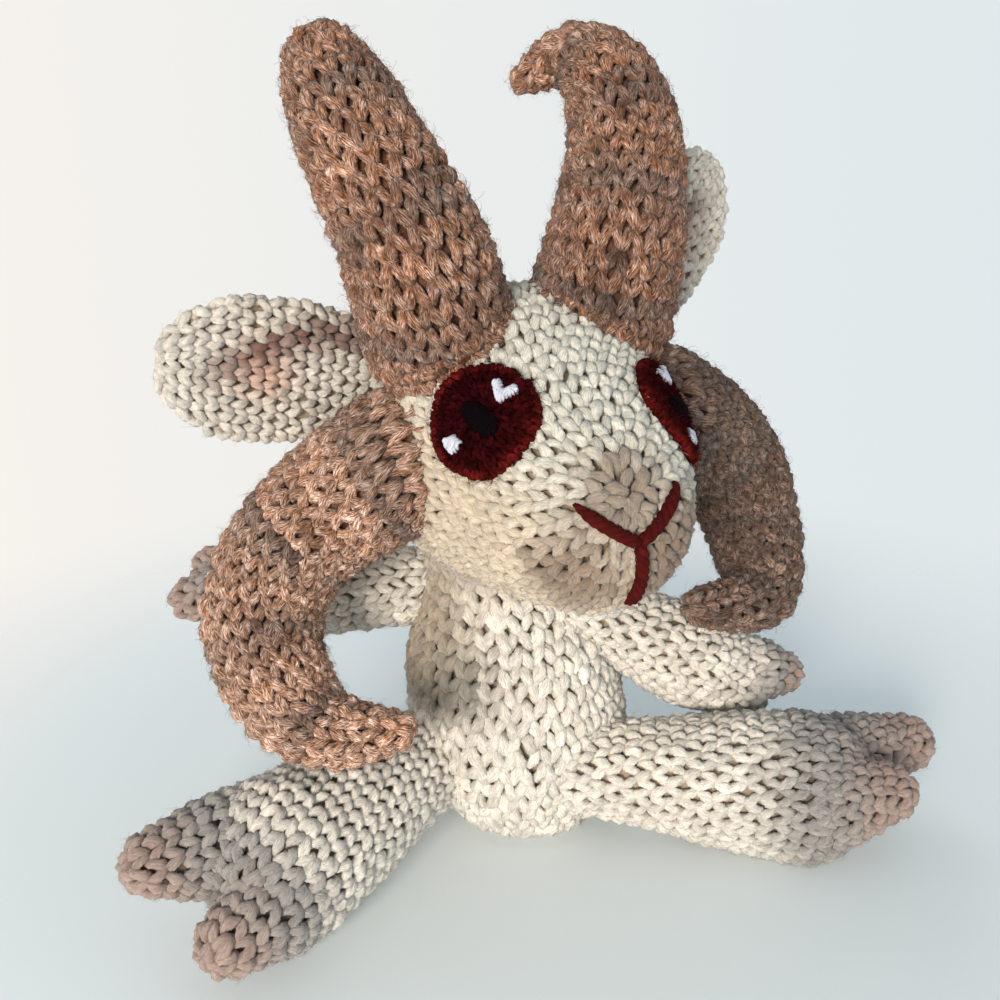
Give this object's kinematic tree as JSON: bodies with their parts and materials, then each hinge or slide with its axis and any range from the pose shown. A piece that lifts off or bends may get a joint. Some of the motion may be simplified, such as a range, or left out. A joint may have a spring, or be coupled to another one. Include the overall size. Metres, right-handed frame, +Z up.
{
  "type": "crocheted goat toy",
  "caption": "Crocheted, stuffed sitting goat with curled horns, spoon ears and cloven feet; head, ears, arms and legs move at their sewn seams.",
  "frame": {"origin": "middle of the flat seat under the body", "axes": "+Z up, the goat looks along -Y, its own left is +X"},
  "size_m": [0.1974, 0.1233, 0.189],
  "materials": {
    "cream_yarn": "crocheted acrylic yarn",
    "mocha_yarn": "crocheted fuzzy yarn",
    "oxblood_felt": "crocheted disc",
    "black_thread": "embroidery",
    "white_thread": "embroidery",
    "red_yarn": "yarn",
    "stuffing": "loose polyester fibre"
  },
  "bodies": {
    "body": {"body_shell": "cream_yarn", "body_stuffing": "stuffing"},
    "neck": {"neck_seam": "cream_yarn"},
    "head": {"head_shell": "cream_yarn", "head_stuffing": "stuffing", "upper_horn_left_shell": "mocha_yarn", "upper_horn_left_stuffing": "stuffing", "lower_horn_left_shell": "mocha_yarn", "lower_horn_left_stuffing": "stuffing", "eye_left": "oxblood_felt", "pupil_left": "black_thread", "heart_left": "white_thread", "diamond_left": "white_thread", "nose_stitch_left": "red_yarn", "upper_horn_right_shell": "mocha_yarn", "upper_horn_right_stuffing": "stuffing", "lower_horn_right_shell": "mocha_yarn", "lower_horn_right_stuffing": "stuffing", "eye_right": "oxblood_felt", "pupil_right": "black_thread", "heart_right": "white_thread", "diamond_right": "white_thread", "nose_stitch_right": "red_yarn", "mouth_stitch": "red_yarn"},
    "ear_left": {"ear_left": "cream_yarn"},
    "arm_left": {"arm_left_shell": "cream_yarn", "arm_left_stuffing": "stuffing"},
    "leg_left": {"leg_left_shell": "cream_yarn", "leg_left_stuffing": "stuffing"},
    "ear_right": {"ear_right": "cream_yarn"},
    "arm_right": {"arm_right_shell": "cream_yarn", "arm_right_stuffing": "stuffing"},
    "leg_right": {"leg_right_shell": "cream_yarn", "leg_right_stuffing": "stuffing"}
  },
  "joints": [
    {"name": "neck_turn", "type": "hinge", "parent": "body", "child": "neck", "pos_m": [-0.005, 0.0048, 0.074], "axis": [0.0668, -0.3474, 0.9353], "range_deg": [-10, 10]},
    {"name": "head_nod", "type": "hinge", "parent": "neck", "child": "head", "pos_m": [-0.003, -0.0056, 0.102], "axis": [1, 0, 0], "range_deg": [-8, 2.5]},
    {"name": "ear_flap_left", "type": "hinge", "parent": "head", "child": "ear_left", "pos_m": [0.02415, 0.0096, 0.11854], "axis": [-0.7359, -0.2598, 0.6252], "range_deg": [-6, 6]},
    {"name": "ear_flap_right", "type": "hinge", "parent": "head", "child": "ear_right", "pos_m": [-0.02975, 0.00998, 0.11527], "axis": [0.2059, -0.0801, 0.9753], "range_deg": [-6, 6]},
    {"name": "shoulder_left", "type": "hinge", "parent": "body", "child": "arm_left", "pos_m": [0.013, -0.008, 0.0555], "axis": [-0.1231, -0.9924, 0], "range_deg": [-2, 5]},
    {"name": "shoulder_right", "type": "hinge", "parent": "body", "child": "arm_right", "pos_m": [-0.0165, 0.0135, 0.059], "axis": [0.5435, 0.8394, 0], "range_deg": [-8, 8]},
    {"name": "hip_left", "type": "hinge", "parent": "body", "child": "leg_left", "pos_m": [0.01, -0.02, 0.019], "axis": [0, 0, 1], "range_deg": [-10, 1]},
    {"name": "hip_right", "type": "hinge", "parent": "body", "child": "leg_right", "pos_m": [-0.022, 0.004, 0.019], "axis": [0, 0, 1], "range_deg": [-10, 6]}
  ]
}
